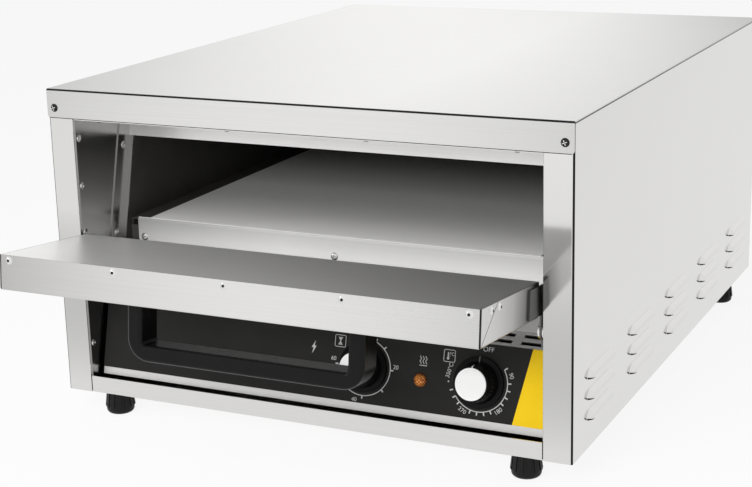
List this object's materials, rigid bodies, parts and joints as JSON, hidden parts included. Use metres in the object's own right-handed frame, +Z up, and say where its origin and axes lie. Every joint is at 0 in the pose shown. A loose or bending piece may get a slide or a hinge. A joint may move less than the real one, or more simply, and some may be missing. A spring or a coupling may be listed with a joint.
{
  "type": "pizza oven",
  "caption": "Countertop electric pizza oven: box casing of folded steel on short feet, leaning control panel with timer and thermostat dials, and a drop-down door with a bow handle.",
  "frame": {"origin": "middle of the bounding box's underside, on the floor between the feet", "axes": "+X to the oven's right seen from the front, +Y towards its rear, +Z up; the door opens towards -Y"},
  "size_m": [0.489, 0.7498, 0.297],
  "materials": {
    "casing_steel": "fine brushed",
    "front_steel": "fine brushed",
    "chamber_steel": "heat-dulled",
    "deck_steel": "smooth",
    "door_steel": "fine brushed",
    "fastener_steel": "plain",
    "fastener_black": "black oxide",
    "foot_rubber": "matt moulded",
    "fascia_black": "matt printed film",
    "handle_plastic": "satin moulded",
    "knob_plastic": "satin moulded",
    "cap_plastic": "satin",
    "shaft_steel": "turned",
    "lens_plastic": "translucent orange",
    "inner_plastic": "moulded",
    "gland_plastic": "moulded",
    "element_metal": "oxidised sheath",
    "capillary_metal": "drawn tube",
    "wool": "felted mineral wool"
  },
  "bodies": {
    "casing": {"base_pan": "casing_steel", "cable_gland": "gland_plastic", "casing_screws": "fastener_steel", "chamber_back": "chamber_steel", "chamber_ceiling": "chamber_steel", "chamber_floor": "chamber_steel", "chamber_left_wall": "chamber_steel", "chamber_right_wall": "chamber_steel", "chamber_stand": "chamber_steel", "control_bracket": "front_steel", "control_fascia": "fascia_black", "cover_screws": "fastener_black", "deck_bar": "chamber_steel", "deck_ledges": "chamber_steel", "deck_plate": "deck_steel", "element_clips": "element_metal", "frame_rivets": "fastener_steel", "front_left_foot": "foot_rubber", "front_right_foot": "foot_rubber", "gland_nut": "gland_plastic", "hinge_bushes": "fastener_steel", "hinge_pins": "fastener_steel", "lamp_body": "inner_plastic", "lamp_lens": "lens_plastic", "left_door_frame": "front_steel", "left_jamb": "front_steel", "left_side_panel": "casing_steel", "lower_element": "element_metal", "rear_insulation": "wool", "rear_left_foot": "foot_rubber", "rear_panel": "casing_steel", "rear_right_foot": "foot_rubber", "right_door_frame": "front_steel", "right_jamb": "front_steel", "right_side_panel": "casing_steel", "side_insulation": "wool", "sill": "front_steel", "soffit": "front_steel", "stop_pins": "fastener_steel", "terminal_block": "inner_plastic", "thermostat_body": "inner_plastic", "thermostat_bulb": "capillary_metal", "timer_body": "inner_plastic", "top_cover": "casing_steel", "top_door_frame": "front_steel", "top_insulation": "wool", "upper_element": "element_metal"},
    "door": {"door_outer_shell": "door_steel", "door_inner_panel": "door_steel", "door_insulation": "wool", "door_handle": "handle_plastic", "handle_screws": "fastener_steel", "door_rivets": "fastener_steel", "hinge_arms": "door_steel"},
    "timer_dial": {"timer_knob": "knob_plastic", "timer_knob_cap": "cap_plastic", "timer_shaft": "shaft_steel"},
    "thermostat_dial": {"thermostat_knob": "knob_plastic", "thermostat_knob_cap": "cap_plastic", "thermostat_shaft": "shaft_steel"}
  },
  "joints": [
    {"name": "door_hinge", "type": "hinge", "parent": "casing", "child": "door", "pos_m": [0, -0.24314, 0.1264], "axis": [-1, 0, 0], "range_deg": [0, 97.9]},
    {"name": "timer_turn", "type": "hinge", "parent": "casing", "child": "timer_dial", "pos_m": [0.0485, -0.23204, 0.07148], "axis": [0, 0.9703, -0.2419], "range_deg": [0, 270]},
    {"name": "thermostat_turn", "type": "hinge", "parent": "casing", "child": "thermostat_dial", "pos_m": [0.153, -0.23204, 0.07148], "axis": [0, 0.9703, -0.2419], "range_deg": [0, 275]}
  ]
}
